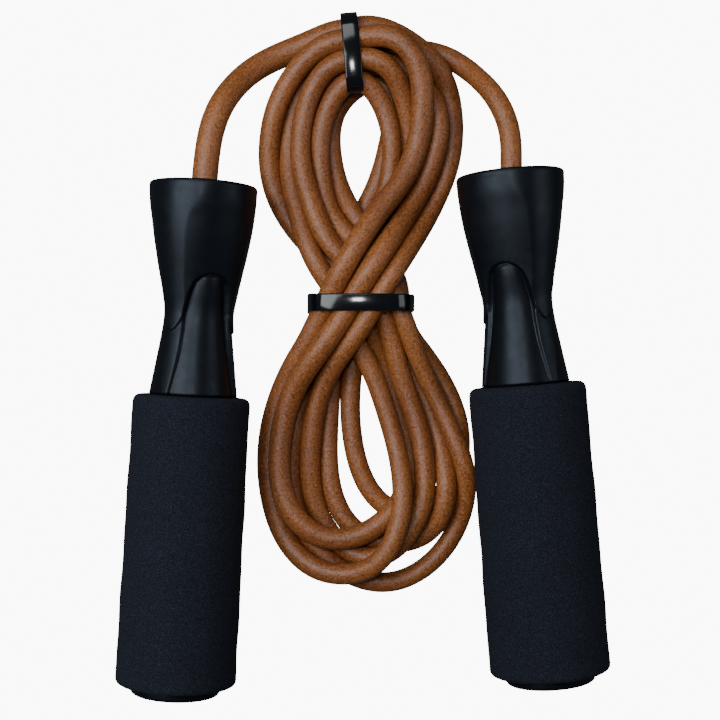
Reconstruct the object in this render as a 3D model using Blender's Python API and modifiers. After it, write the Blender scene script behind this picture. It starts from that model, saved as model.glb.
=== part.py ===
"""A leather jump rope with two foam grip handles, coiled in a tied figure of eight.

Each handle turns on a ball bearing in its mouth. The rope runs through the bearing and ends in a
crimped ferrule behind it. Between the handles the rope is a hank, held by two cable ties.

Lengths below are in millimetres and are scaled by MM where geometry is made. +Z is up, the handles
point along +Y, and the origin is on the ground under the middle of the two handles.
A place along a handle is its depth: the distance behind the handle's rim.
"""

import math

import bmesh
import bpy
from mathutils import Matrix, Vector
from mathutils.geometry import interpolate_bezier

MM = 0.001
GAP = 0.3
MERGE = 0.00001

# The two handles: rim centre on the ground plan, lean of the axis towards +X, and turn of the top
# finger about the axis, towards +X, in degrees.
AXIS_HEIGHT = 18.3
HANDLES = {
    "left": {"rim": (-47.98, 74.89), "lean": 3.26, "turn": 28.5},
    "right": {"rim": (44.42, 78.19), "lean": -4.64, "turn": -27.5},
}

# Handle shell: the outline radius at each depth, along the petals of the flared head, the corner
# strips of the neck, and the core tube that carries the foam.
RIM_RADIUS = 16.3
HEAD_OUTLINE = [
    (15.9, 0.4),
    (RIM_RADIUS, 1.4),
    (16.1, 8.0),
    (15.0, 19.0),
    (12.5, 33.0),
    (11.0, 39.5),
    (11.3, 46.0),
]
NECK_END_RADIUS = 13.6
NECK_END = 63.6
CORE_RADIUS = 12.0
CORE_BORE_RADIUS = 9.5
CORE_BORE_START = 66.5
CORE_END = 150.2

# The three fingers: a plain cone showing in scoops that start under the head.
FINGER_COUNT = 3
FINGER_TOP = 27.4
FINGER_RADIUS_AT_TOP = 8.6
FINGER_RADIUS_AT_END = 12.9
SCOOP_OFFSET = 11.5
SCOOP_OUTLINE = [
    (0.0, FINGER_TOP),
    (2.6, 28.2),
    (4.2, 30.0),
    (6.1, 36.0),
    (7.2, 45.0),
    (10.4, 62.0),
    (10.8, 64.4),
    (0.0, 64.4),
]
SCOOP_STEPS = 20
NECK_CONE_ABOVE = 4.0
NECK_CONE_BELOW = 2.0
FACET_TILT = 9.0
FACET_SLAB = (6.0, 40.0, 60.0)
FACET_RADIUS_AT_TOP = 12.4

# The bore inside the head and the neck.
MOUTH_RADIUS = 13.3
MOUTH_DEPTH = 4.0
SEAT_RADIUS = 12.3
FERRULE_ROOM_RADIUS = 8.2
NECK_BORE_RADIUS = 4.6
NECK_BORE_CHAMFER = 3.0
NECK_BORE_SHOULDER = 4.0
FERRULE_SEAT_GAP = 0.9
FERRULE_SEAT_LENGTH = 5.0
ROPE_END_GAP = 0.5
ROOM_CHAMFER = 1.0
MOUTH_CHAMFER = 0.5
MOUTH_CHAMFER_DEPTHS = (1.0, 0.2)

# The ring that holds the bearing: its front, its bore and the lips at both.
RETAINER_FRONT = 1.4
RETAINER_BORE_RADIUS = 8.0
RETAINER_EDGE = 0.6
RETAINER_LIP = (1.9, 2.6)
RETAINER_RELIEF_RADIUS = 10.4

# Ball bearing, 24 mm outside, 12 mm inside, 6 mm wide.
BEARING_START = 4.3
BEARING_WIDTH = 6.0
BEARING_OUTER_RADIUS = 12.0
BEARING_INNER_RADIUS = 6.0
BEARING_END = BEARING_START + BEARING_WIDTH
BALL_CENTRE = BEARING_START + BEARING_WIDTH / 2
BALL_RADIUS = 3.175 / 2
BALL_PITCH_RADIUS = 9.0
BALL_COUNT = 9
BALL_GAP = 0.25
RING_SHOULDER = 1.25
GROOVE_HALF_WIDTH = 1.9
GROOVE_CHAMFER = 0.9
CAGE_HALF_THICKNESS = 0.45
CAGE_HALF_WIDTH = 2.45
POCKET_CUT = 4.0
POCKET_STEPS = 10

# Foam sleeve and end cap.
FOAM_FRONT = NECK_END + GAP
FOAM_REAR = 150.5
FOAM_FRONT_RADIUS = 17.7
FOAM_REAR_RADIUS = 18.3
FOAM_ROUNDING = 2.6
FOAM_REAR_ROUNDING = 1.3
FOAM_FRONT_STEPS = 4
FOAM_REAR_STEPS = 3
CAP_RADIUS = 13.4
CAP_FRONT = FOAM_REAR + GAP
CAP_REAR = CAP_FRONT + 2.8
CAP_EDGE = 1.2
CAP_ROUNDING = 0.6
CAP_FACE_EDGE = 2.0
CAP_PLUG_LENGTH = 14.0
CAP_PLUG_CHAMFER = (0.8, 1.2)

# Rope and the pieces on its ends.
ROPE_RADIUS = 3.2
ROPE_END = 27.5
SLEEVE_RADIUS = BEARING_INNER_RADIUS - GAP
SLEEVE_BORE = 4.3
SLEEVE_FRONT = 2.6
SLEEVE_FLANGE_RADIUS = 7.5
SLEEVE_FLANGE_THICKNESS = 1.2
SLEEVE_REAR = BEARING_END + GAP + SLEEVE_FLANGE_THICKNESS
SLEEVE_FACE = 0.6
SLEEVE_CHAMFERS = (0.5, 0.4)
WASHER_RADIUS = 7.6
WASHER_FRONT = SLEEVE_REAR + GAP
WASHER_THICKNESS = 1.0
FERRULE_RADIUS = 5.3
FERRULE_FRONT = WASHER_FRONT + WASHER_THICKNESS + GAP
FERRULE_LENGTH = 12.0
FERRULE_CHAMFER = 0.4
CRIMP_DEPTH = 0.7
CRIMP_STEPS = (3.0, 4.0)

# The free rope on each side, from the mouth to the hank: ground plan and height.
LEADS = {
    "left": [
        (-47.1, 83.8, 18.1),
        (-46.2, 91.3, 17.4),
        (-43.1, 100.0, 16.0),
        (-37.8, 108.5, 13.6),
        (-33.6, 112.9, 11.4),
        (-29.6, 115.7, 9.4),
    ],
    "right": [
        (45.1, 84.8, 18.0),
        (45.2, 91.3, 17.3),
        (42.4, 98.9, 15.8),
        (36.8, 107.7, 13.4),
        (32.6, 111.9, 11.2),
        (28.7, 114.6, 9.2),
    ],
}
LEAD_STUB = 9.0
ROPE_INSIDE = (ROPE_END, 14.0, 3.0)
LEAD_STEP = 16.0

# The hank: plan outline of the two loops, and the openings inside them.
HANK_HEIGHT = 15.0
HANK_OUTLINE = [
    (-3.2, 128.0),
    (-16.2, 123.3),
    (-25.7, 113.3),
    (-30.0, 95.3),
    (-27.7, 75.3),
    (-20.7, 56.3),
    (-14.8, 39.3),
    (-21.2, 21.3),
    (-29.7, 2.3),
    (-31.8, -15.7),
    (-26.7, -35.7),
    (-13.2, -47.7),
    (2.8, -50.3),
    (16.8, -48.2),
    (29.8, -37.2),
    (34.4, -17.7),
    (28.8, 7.3),
    (19.8, 24.3),
    (14.2, 39.3),
    (20.3, 57.3),
    (27.8, 75.3),
    (30.2, 94.3),
    (25.8, 111.3),
    (14.3, 123.3),
]
UPPER_OPENING = [(-1.2, 100.3), (-6.7, 94.3), (-7.7, 81.3), (0.4, 64.8), (6.0, 81.3), (4.6, 94.3)]
LOWER_OPENING = [(0.2, 18.3), (-2.0, 7.3), (-1.2, -6.7), (7.4, -19.2), (8.8, -8.7), (4.8, 5.3)]
WAIST_CENTRE = (-0.5, 39.3)
WAIST_HEIGHT = 19.6
WAIST_LENGTH = 24.0
WAIST_HALF_WIDTH = 14.6
WAIST_CORNER = 0.8
WAIST_BOTTOM = 2.0
TIE_ROOM = 12.0

# The cable ties: plan centre, turn of the band's plane about +Z, and the inner face of the loop as
# corner circles (across, height, radius), counter-clockwise. The locking head sits on the stretch
# that starts at corner number "head_at".
TIE_WIDTH = 5.2
TIE_THICKNESS = 1.2
HEAD_WIDTH = 6.6
HEAD_THICKNESS = 3.3
TIES = {
    "waist": {
        "centre": (-0.5, 39.3),
        "turn": 0.0,
        "corners": [(8.2, 13.2, 7.0), (-8.2, 13.2, 7.0), (-6.0, 6.9, 5.5), (8.2, 8.4, 7.0)],
        "head_at": 1,
    },
    "top": {
        "centre": (-3.1, 114.3),
        "turn": 95.0,
        "corners": [(7.9, 10.4, 5.5), (-5.6, 12.2, 3.7), (-2.0, 6.4, 2.8), (8.4, 8.6, 5.0)],
        "head_at": 2,
    },
}

TURNED_STEPS = 32
SMALL_STEPS = 24
TIE_CORNER_STEPS = 4
ROUNDED_RESOLUTION = 4
TUBE_BEVEL_RESOLUTION = 3

COLOURS = {
    "moulded_plastic": ((0.010, 0.012, 0.016), 0.38, 0.0),
    "foam": ((0.012, 0.016, 0.022), 0.95, 0.0),
    "leather": ((0.33, 0.105, 0.028), 0.6, 0.0),
    "tie_plastic": ((0.006, 0.006, 0.007), 0.2, 0.0),
    "bearing_steel": ((0.62, 0.62, 0.61), 0.25, 1.0),
    "nylon": ((0.75, 0.73, 0.68), 0.5, 0.0),
    "brass": ((0.71, 0.49, 0.20), 0.3, 1.0),
}


def clear_scene():
    for obj in list(bpy.data.objects):
        bpy.data.objects.remove(obj, do_unlink=True)


def new_collection(name, hidden=False):
    collection = bpy.data.collections.new(name)
    bpy.context.scene.collection.children.link(collection)
    collection.hide_render = hidden
    return collection


def finish_material(finish, node_name):
    """Each node has a material of its own, in one of the finishes above."""
    colour, roughness, metallic = COLOURS[finish]
    material = bpy.data.materials.new(node_name)
    material.use_nodes = True
    shader = material.node_tree.nodes["Principled BSDF"]
    shader.inputs["Base Color"].default_value = (*colour, 1.0)
    shader.inputs["Roughness"].default_value = roughness
    shader.inputs["Metallic"].default_value = metallic
    return material


def add_object(name, data, collection, parent=None, finish=None):
    obj = bpy.data.objects.new(name, data)
    collection.objects.link(obj)
    obj.parent = parent
    if finish:
        data.materials.clear()
        data.materials.append(finish_material(finish, name))
    return obj


def make_cutter(obj):
    obj.hide_render = True
    obj.display_type = "WIRE"
    return obj


def boolean(obj, other, operation="DIFFERENCE"):
    modifier = obj.modifiers.new(f"{operation.lower()} {other.name}", "BOOLEAN")
    modifier.operation = operation
    modifier.solver = "EXACT"
    modifier.object = other
    return modifier


def smooth(mesh):
    mesh.shade_smooth()
    mesh.set_sharp_from_angle(angle=math.radians(35))


def turned(name, outline, collection, parent=None, finish=None, steps=TURNED_STEPS):
    """A body turned about its own +Z from (radius, depth) points, down the outside and back up.

    Depth runs along -Z. An outline that starts on the axis is left open, because it closes there.
    """
    mesh = bpy.data.meshes.new(name)
    points = [(radius * MM, 0.0, -depth * MM) for radius, depth in outline]
    edges = [(i, i + 1) for i in range(len(points) - 1)]
    if outline[0][0] > 0.0:
        edges.append((len(points) - 1, 0))
    mesh.from_pydata(points, edges, [])
    obj = add_object(name, mesh, collection, parent, finish)
    screw = obj.modifiers.new("turned", "SCREW")
    screw.axis = "Z"
    screw.angle = 2.0 * math.pi
    screw.steps = steps
    screw.render_steps = steps
    screw.use_merge_vertices = True
    screw.merge_threshold = MERGE
    screw.use_smooth_shade = True
    return obj


def ring(outer, inner, front, rear):
    """Outline of a plain ring between two depths."""
    return [(outer, front), (outer, rear), (inner, rear), (inner, front)]


def mesh_of(obj, name, collection, parent=None, finish=None):
    """A mesh object made from a curve object, which is then removed."""
    graph = bpy.context.evaluated_depsgraph_get()
    graph.update()
    mesh = bpy.data.meshes.new_from_object(obj.evaluated_get(graph))
    weld = bmesh.new()
    weld.from_mesh(mesh)
    bmesh.ops.remove_doubles(weld, verts=weld.verts, dist=MERGE)
    bmesh.ops.recalc_face_normals(weld, faces=weld.faces)
    weld.to_mesh(mesh)
    weld.free()
    placed = obj.matrix_world.copy()
    bpy.data.objects.remove(obj, do_unlink=True)
    made = add_object(name, mesh, collection, parent, finish)
    made.matrix_world = placed
    return made


def smooth_path(points, spacing):
    """Points about `spacing` apart on the Bezier curve whose tangents follow the neighbours."""
    places = [Vector(point) for point in points]
    tangents = []
    for i, place in enumerate(places):
        before = places[max(i - 1, 0)]
        after = places[min(i + 1, len(places) - 1)]
        tangents.append((after - before).normalized())
    path = [places[0]]
    for i in range(len(places) - 1):
        span = (places[i + 1] - places[i]).length
        count = max(2, round(span / spacing) + 1)
        handle = span / 3.0
        path += interpolate_bezier(
            places[i],
            places[i] + tangents[i] * handle,
            places[i + 1] - tangents[i + 1] * handle,
            places[i + 1],
            count,
        )[1:]
    return path


def tube(name, path, radius, collection, finish=None):
    curve = bpy.data.curves.new(name, "CURVE")
    curve.dimensions = "3D"
    curve.bevel_depth = radius * MM
    curve.bevel_resolution = TUBE_BEVEL_RESOLUTION
    curve.use_fill_caps = True
    spline = curve.splines.new("POLY")
    spline.points.add(len(path) - 1)
    for point, place in zip(spline.points, path):
        point.co = (*(place * MM), 1.0)
    return add_object(name, curve, collection, None, finish)


def flat_solid(name, outlines, low, high, collection, rounded=False):
    """A curve object: closed plan outlines, the later ones as holes, from low to high."""
    curve = bpy.data.curves.new(name, "CURVE")
    curve.dimensions = "2D"
    curve.fill_mode = "BOTH"
    curve.extrude = (high - low) / 2 * MM
    curve.resolution_u = ROUNDED_RESOLUTION
    for outline in outlines:
        spline = curve.splines.new("BEZIER")
        spline.bezier_points.add(len(outline) - 1)
        handles = "AUTO" if rounded else "VECTOR"
        for point, (x, y) in zip(spline.bezier_points, outline):
            point.co = (x * MM, y * MM, 0.0)
            point.handle_left_type = handles
            point.handle_right_type = handles
        spline.use_cyclic_u = True
        if not rounded:
            spline.resolution_u = 1
    obj = add_object(name, curve, collection)
    obj.location = (0.0, 0.0, (low + high) / 2 * MM)
    bpy.context.view_layer.update()
    return obj


def handle_matrix(side):
    """The handle's frame: +Z out of its mouth, +Y up, with its origin at the rim's centre."""
    x, y = HANDLES[side]["rim"]
    lean = math.radians(HANDLES[side]["lean"])
    along = Vector((math.sin(lean), math.cos(lean), 0.0))
    up = Vector((0.0, 0.0, 1.0))
    across = up.cross(along)
    turn = Matrix((across, up, along)).transposed().to_4x4()
    return Matrix.Translation((x * MM, y * MM, AXIS_HEIGHT * MM)) @ turn


def finger_angles(side):
    """Angles of the three fingers about the handle's +Z, from its +X."""
    first = math.radians(90.0 + HANDLES[side]["turn"])
    return [first + 2.0 * math.pi * i / FINGER_COUNT for i in range(FINGER_COUNT)]


def finger_radius(depth):
    share = (depth - FINGER_TOP) / (NECK_END - FINGER_TOP)
    return FINGER_RADIUS_AT_TOP + share * (FINGER_RADIUS_AT_END - FINGER_RADIUS_AT_TOP)


def handle_shell(side, axis, parts, cutters):
    """The moulded handle: flared mouth, three-finger neck and core tube, bored from end to end."""
    outline = HEAD_OUTLINE + [
        (NECK_END_RADIUS, NECK_END),
        (CORE_RADIUS, NECK_END),
        (CORE_RADIUS, CORE_END),
        (CORE_BORE_RADIUS, CORE_END),
        (CORE_BORE_RADIUS, CORE_BORE_START),
        (NECK_BORE_RADIUS, CORE_BORE_START - NECK_BORE_CHAMFER),
        (NECK_BORE_RADIUS, ROPE_END + NECK_BORE_SHOULDER),
        (FERRULE_RADIUS + FERRULE_SEAT_GAP, ROPE_END - ROPE_END_GAP),
        (FERRULE_RADIUS + FERRULE_SEAT_GAP, FERRULE_FRONT + FERRULE_SEAT_LENGTH),
        (FERRULE_ROOM_RADIUS, FERRULE_FRONT + ROOM_CHAMFER),
        (FERRULE_ROOM_RADIUS, BEARING_END + GAP),
        (SEAT_RADIUS, BEARING_END + GAP),
        (SEAT_RADIUS, MOUTH_DEPTH),
        (MOUTH_RADIUS, MOUTH_DEPTH),
        (MOUTH_RADIUS, MOUTH_CHAMFER_DEPTHS[0]),
        (MOUTH_RADIUS + MOUTH_CHAMFER, MOUTH_CHAMFER_DEPTHS[1]),
    ]
    shell = turned(f"{side}_handle_shell", outline, parts, axis, "moulded_plastic")
    neck_top = FINGER_TOP - NECK_CONE_ABOVE
    neck_bottom = NECK_END + NECK_CONE_BELOW
    neck = turned(
        f"{side}_neck_core",
        [
            (0.0, neck_top),
            (finger_radius(neck_top), neck_top),
            (finger_radius(neck_bottom), neck_bottom),
            (0.0, neck_bottom),
        ],
        cutters,
        axis,
    )
    make_cutter(neck)
    for i, angle in enumerate(finger_angles(side)):
        place = Matrix.Rotation(angle, 4, "Z")
        scoop = turned(f"{side}_scoop_{i + 1}", SCOOP_OUTLINE, cutters, axis, steps=SCOOP_STEPS)
        scoop.matrix_local = place @ Matrix.Translation((SCOOP_OFFSET * MM, 0.0, 0.0))
        boolean(scoop, neck)
        make_cutter(scoop)
        boolean(shell, scoop)
        facet = facet_cutter(f"{side}_facet_{i + 1}", cutters, axis)
        facet.matrix_local = place @ facet.matrix_local
        boolean(shell, facet)
    return shell


def facet_cutter(name, cutters, axis):
    """A slab whose inner face is the tilted flat that is cut on the head above one finger."""
    thickness, width, length = (side * MM for side in FACET_SLAB)
    box = bmesh.new()
    bmesh.ops.create_cube(box, size=1.0)
    size = Matrix.Diagonal((thickness, width, length, 1.0))
    bmesh.ops.transform(box, matrix=size, verts=box.verts)
    mesh = bpy.data.meshes.new(name)
    box.to_mesh(mesh)
    box.free()
    facet = add_object(name, mesh, cutters, axis)
    tilt = Matrix.Rotation(math.radians(FACET_TILT), 4, "Y")
    pivot = Matrix.Translation((FACET_RADIUS_AT_TOP * MM, 0.0, -FINGER_TOP * MM))
    facet.matrix_local = pivot @ tilt @ Matrix.Translation((thickness / 2, 0.0, 0.0))
    return make_cutter(facet)


def foam_grip(side, axis, parts):
    outline = []
    corner = (FOAM_FRONT_RADIUS - FOAM_ROUNDING, FOAM_FRONT + FOAM_ROUNDING)
    for i in range(FOAM_FRONT_STEPS + 1):
        angle = math.radians(90.0 - 90.0 * i / FOAM_FRONT_STEPS)
        radius = corner[0] + FOAM_ROUNDING * math.cos(angle)
        outline.append((radius, corner[1] - FOAM_ROUNDING * math.sin(angle)))
    corner = (FOAM_REAR_RADIUS - FOAM_REAR_ROUNDING, FOAM_REAR - FOAM_REAR_ROUNDING)
    for i in range(FOAM_REAR_STEPS + 1):
        angle = math.radians(90.0 * i / FOAM_REAR_STEPS)
        radius = corner[0] + FOAM_REAR_ROUNDING * math.cos(angle)
        outline.append((radius, corner[1] + FOAM_REAR_ROUNDING * math.sin(angle)))
    outline += [(CORE_RADIUS + GAP, FOAM_REAR), (CORE_RADIUS + GAP, FOAM_FRONT)]
    return turned(f"{side}_foam_grip", outline, parts, axis, "foam")


def end_cap(side, axis, parts):
    """A disc over the foam's rear edge, with a plug in the core tube and a flat rear face."""
    plug_radius = CORE_BORE_RADIUS - GAP
    outline = [
        (0.0, CAP_FRONT - CAP_PLUG_LENGTH),
        (plug_radius - CAP_PLUG_CHAMFER[0], CAP_FRONT - CAP_PLUG_LENGTH),
        (plug_radius, CAP_FRONT - CAP_PLUG_LENGTH + CAP_PLUG_CHAMFER[1]),
        (plug_radius, CAP_FRONT),
        (CAP_RADIUS, CAP_FRONT),
        (CAP_RADIUS, CAP_FRONT + CAP_EDGE),
        (CAP_RADIUS - CAP_ROUNDING, CAP_REAR - CAP_ROUNDING),
        (CAP_RADIUS - CAP_FACE_EDGE, CAP_REAR),
        (0.0, CAP_REAR),
    ]
    return turned(f"{side}_end_cap", outline, parts, axis, "moulded_plastic")


def bearing_retainer(side, axis, parts):
    """The cover ring in the mouth, in front of the bearing's outer ring."""
    outer = MOUTH_RADIUS - GAP
    outline = [
        (outer - RETAINER_EDGE, RETAINER_FRONT),
        (outer, RETAINER_FRONT + RETAINER_EDGE),
        (outer, MOUTH_DEPTH - GAP),
        (RETAINER_RELIEF_RADIUS, MOUTH_DEPTH - GAP),
        (RETAINER_BORE_RADIUS, RETAINER_LIP[1]),
        (RETAINER_BORE_RADIUS, RETAINER_LIP[0]),
        (RETAINER_BORE_RADIUS + RETAINER_EDGE, RETAINER_FRONT),
    ]
    return turned(f"{side}_bearing_retainer", outline, parts, axis, "moulded_plastic")


def bearing_rings(side, axis, parts):
    """Outer and inner ring, each with a raceway groove that clears the balls."""
    outer_shoulder = BALL_PITCH_RADIUS + RING_SHOULDER
    inner_shoulder = BALL_PITCH_RADIUS - RING_SHOULDER
    outer_groove = BALL_PITCH_RADIUS + BALL_RADIUS + BALL_GAP
    inner_groove = BALL_PITCH_RADIUS - BALL_RADIUS - BALL_GAP
    groove_front = BALL_CENTRE - GROOVE_HALF_WIDTH
    groove_rear = BALL_CENTRE + GROOVE_HALF_WIDTH
    turned(
        f"{side}_bearing_outer_ring",
        [
            (BEARING_OUTER_RADIUS, BEARING_START),
            (BEARING_OUTER_RADIUS, BEARING_END),
            (outer_shoulder, BEARING_END),
            (outer_shoulder, groove_rear),
            (outer_groove, groove_rear - GROOVE_CHAMFER),
            (outer_groove, groove_front + GROOVE_CHAMFER),
            (outer_shoulder, groove_front),
            (outer_shoulder, BEARING_START),
        ],
        parts,
        axis,
        "bearing_steel",
        SMALL_STEPS,
    )
    turned(
        f"{side}_bearing_inner_ring",
        [
            (inner_shoulder, BEARING_START),
            (inner_shoulder, groove_front),
            (inner_groove, groove_front + GROOVE_CHAMFER),
            (inner_groove, groove_rear - GROOVE_CHAMFER),
            (inner_shoulder, groove_rear),
            (inner_shoulder, BEARING_END),
            (BEARING_INNER_RADIUS, BEARING_END),
            (BEARING_INNER_RADIUS, BEARING_START),
        ],
        parts,
        axis,
        "bearing_steel",
        SMALL_STEPS,
    )


def ball_angles():
    return [2.0 * math.pi * i / BALL_COUNT for i in range(BALL_COUNT)]


def bearing_cage(side, axis, parts, cutters):
    """A thin ring around the pitch circle, with one round pocket for each ball."""
    outline = ring(
        BALL_PITCH_RADIUS + CAGE_HALF_THICKNESS,
        BALL_PITCH_RADIUS - CAGE_HALF_THICKNESS,
        BALL_CENTRE - CAGE_HALF_WIDTH,
        BALL_CENTRE + CAGE_HALF_WIDTH,
    )
    cage = turned(
        f"{side}_bearing_cage", outline, parts, axis, "nylon", 2 * BALL_COUNT
    )
    for i, angle in enumerate(ball_angles()):
        name = f"{side}_ball_pocket_{i + 1}"
        pocket = bmesh.new()
        radius = (BALL_RADIUS + BALL_GAP) * MM
        bmesh.ops.create_cone(
            pocket,
            cap_ends=True,
            segments=POCKET_STEPS,
            radius1=radius,
            radius2=radius,
            depth=POCKET_CUT * MM,
        )
        mesh = bpy.data.meshes.new(name)
        pocket.to_mesh(mesh)
        pocket.free()
        cutter = add_object(name, mesh, cutters, axis)
        lay_radially = Matrix.Rotation(math.radians(90.0), 4, "Y")
        out = Matrix.Translation((BALL_PITCH_RADIUS * MM, 0.0, -BALL_CENTRE * MM))
        cutter.matrix_local = Matrix.Rotation(angle, 4, "Z") @ out @ lay_radially
        make_cutter(cutter)
        boolean(cage, cutter)
    return cage


def bearing_balls(side, axis, parts):
    for i, angle in enumerate(ball_angles()):
        name = f"{side}_bearing_ball_{i + 1}"
        ball = bmesh.new()
        bmesh.ops.create_icosphere(ball, subdivisions=2, radius=BALL_RADIUS * MM)
        mesh = bpy.data.meshes.new(name)
        ball.to_mesh(mesh)
        ball.free()
        smooth(mesh)
        obj = add_object(name, mesh, parts, axis, "bearing_steel")
        obj.location = (
            BALL_PITCH_RADIUS * math.cos(angle) * MM,
            BALL_PITCH_RADIUS * math.sin(angle) * MM,
            -BALL_CENTRE * MM,
        )


def rope_end_pieces(side, axis, parts):
    """The flanged sleeve in the inner ring, the thrust washer and the ferrule behind it."""
    flange = SLEEVE_REAR - SLEEVE_FLANGE_THICKNESS
    turned(
        f"{side}_swivel_sleeve",
        [
            (SLEEVE_BORE + SLEEVE_FACE, SLEEVE_FRONT),
            (SLEEVE_RADIUS, SLEEVE_FRONT + SLEEVE_CHAMFERS[0]),
            (SLEEVE_RADIUS, flange),
            (SLEEVE_FLANGE_RADIUS, flange),
            (SLEEVE_FLANGE_RADIUS, SLEEVE_REAR),
            (SLEEVE_BORE, SLEEVE_REAR),
            (SLEEVE_BORE, SLEEVE_FRONT + SLEEVE_CHAMFERS[1]),
        ],
        parts,
        axis,
        "brass",
        SMALL_STEPS,
    )
    washer_rear = WASHER_FRONT + WASHER_THICKNESS
    turned(
        f"{side}_thrust_washer",
        ring(WASHER_RADIUS, SLEEVE_BORE, WASHER_FRONT, washer_rear),
        parts,
        axis,
        "nylon",
        SMALL_STEPS,
    )
    ferrule_rear = FERRULE_FRONT + FERRULE_LENGTH
    turned(
        f"{side}_crimp_ferrule",
        [
            (FERRULE_RADIUS - FERRULE_CHAMFER, FERRULE_FRONT),
            (FERRULE_RADIUS, FERRULE_FRONT + FERRULE_CHAMFER),
            (FERRULE_RADIUS, FERRULE_FRONT + CRIMP_STEPS[0]),
            (FERRULE_RADIUS - CRIMP_DEPTH, FERRULE_FRONT + CRIMP_STEPS[1]),
            (FERRULE_RADIUS - CRIMP_DEPTH, ferrule_rear - CRIMP_STEPS[1]),
            (FERRULE_RADIUS, ferrule_rear - CRIMP_STEPS[0]),
            (FERRULE_RADIUS, ferrule_rear),
            (ROPE_RADIUS + GAP, ferrule_rear),
            (ROPE_RADIUS + GAP, FERRULE_FRONT),
        ],
        parts,
        axis,
        "brass",
        SMALL_STEPS,
    )


def lead_path(side):
    """Centreline of the free rope, from its end inside the handle to the hank, in millimetres."""
    frame = handle_matrix(side)
    inside = [frame @ Vector((0.0, 0.0, -depth * MM)) / MM for depth in ROPE_INSIDE]
    return smooth_path([*inside, *LEADS[side]], LEAD_STEP)


def rope_lead(side, parts):
    return tube(f"rope_lead_{side}", lead_path(side), ROPE_RADIUS, parts, "leather")


def lead_stub(side, cutters):
    """The start of the hank that faces the end of a lead, GAP away from it."""
    path = lead_path(side)
    along = (path[-1] - path[-2]).normalized()
    start = path[-1] + along * GAP
    ends = [start, start + along * LEAD_STUB]
    curve = tube(f"{side}_stub_curve", ends, ROPE_RADIUS, cutters)
    bpy.context.view_layer.update()
    return make_cutter(mesh_of(curve, f"{side}_lead_stub", cutters))


def tie_room(name, tie, cutters):
    """The room in the hank for one tie: all that is outside its loop, as wide as its head."""
    half = HEAD_WIDTH / 2 + GAP
    loops = [tie_outline(tie, TIE_ROOM), tie_outline(tie, -GAP)]
    cutter = mesh_of(flat_solid(f"{name}_curve", loops, -half, half, cutters), name, cutters)
    cutter.matrix_world = tie_matrix(tie)
    return make_cutter(cutter)


def rope_hank(parts, cutters):
    """The outer shape of the coiled rope: two loops and a thicker crossing between them."""
    outlines = [HANK_OUTLINE, UPPER_OPENING, LOWER_OPENING]
    curve = flat_solid("hank_curve", outlines, 0.0, HANK_HEIGHT, cutters, rounded=True)
    hank = mesh_of(curve, "rope_hank", parts, None, "leather")
    x, y = WAIST_CENTRE
    half = WAIST_LENGTH / 2
    wide = WAIST_HALF_WIDTH
    crossing = [
        (x - wide * WAIST_CORNER, y + half * WAIST_CORNER),
        (x - wide, y),
        (x - wide * WAIST_CORNER, y - half * WAIST_CORNER),
        (x, y - half),
        (x + wide * WAIST_CORNER, y - half * WAIST_CORNER),
        (x + wide, y),
        (x + wide * WAIST_CORNER, y + half * WAIST_CORNER),
        (x, y + half),
    ]
    curve = flat_solid("crossing_curve", [crossing], WAIST_BOTTOM, WAIST_HEIGHT, cutters, rounded=True)
    boolean(hank, make_cutter(mesh_of(curve, "crossing", cutters)), "UNION")
    for side in HANDLES:
        boolean(hank, lead_stub(side, cutters), "UNION")
    for name, tie in TIES.items():
        boolean(hank, tie_room(f"{name}_tie_room", tie, cutters))
    return hank


def tie_matrix(tie):
    """The tie's frame: its loop lies in local XY, with local Y up."""
    x, y = tie["centre"]
    turn = Matrix.Rotation(math.radians(tie["turn"]), 4, "Z")
    stand = Matrix.Rotation(math.radians(90.0), 4, "X")
    return Matrix.Translation((x * MM, y * MM, 0.0)) @ turn @ stand


def tangent_side(corners, i):
    """The straight side from corner circle i to the next: its outward normal and its two ends."""
    x0, y0, radius0 = corners[i]
    x1, y1, radius1 = corners[(i + 1) % len(corners)]
    along = Vector((x1 - x0, y1 - y0))
    lean = (radius0 - radius1) / along.length
    along.normalize()
    outward = Vector((along.y, -along.x))
    normal = along * lean + outward * math.sqrt(1.0 - lean * lean)
    return normal, Vector((x0, y0)) + normal * radius0, Vector((x1, y1)) + normal * radius1


def tie_outline(tie, grow):
    """The tie's loop, `grow` outside its inner face: an arc at each corner, joined by sides."""
    corners = [(x, y, radius + grow) for x, y, radius in tie["corners"]]
    outline = []
    for i, (x, y, radius) in enumerate(corners):
        normal_in = tangent_side(corners, i - 1)[0]
        normal_out = tangent_side(corners, i)[0]
        start = math.atan2(normal_in.y, normal_in.x)
        sweep = (math.atan2(normal_out.y, normal_out.x) - start) % (2.0 * math.pi)
        for j in range(TIE_CORNER_STEPS + 1):
            angle = start + sweep * j / TIE_CORNER_STEPS
            outline.append((x + radius * math.cos(angle), y + radius * math.sin(angle)))
    return outline


def tie_head(name, tie, cutters):
    """The locking head: a block whose inner face is flush with the band's."""
    normal, start, end = tangent_side(tie["corners"], tie["head_at"])
    centre = (start + end) / 2 + normal * HEAD_THICKNESS / 2
    block = bmesh.new()
    bmesh.ops.create_cube(block, size=1.0)
    size = Matrix.Diagonal((HEAD_THICKNESS * MM, HEAD_WIDTH * MM, HEAD_WIDTH * MM, 1.0))
    bmesh.ops.transform(block, matrix=size, verts=block.verts)
    mesh = bpy.data.meshes.new(name)
    block.to_mesh(mesh)
    block.free()
    head = add_object(name, mesh, cutters)
    place = Matrix.Translation((centre.x * MM, centre.y * MM, 0.0))
    face_out = Matrix.Rotation(math.atan2(normal.y, normal.x), 4, "Z")
    head.matrix_world = tie_matrix(tie) @ place @ face_out
    return make_cutter(head)


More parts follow.
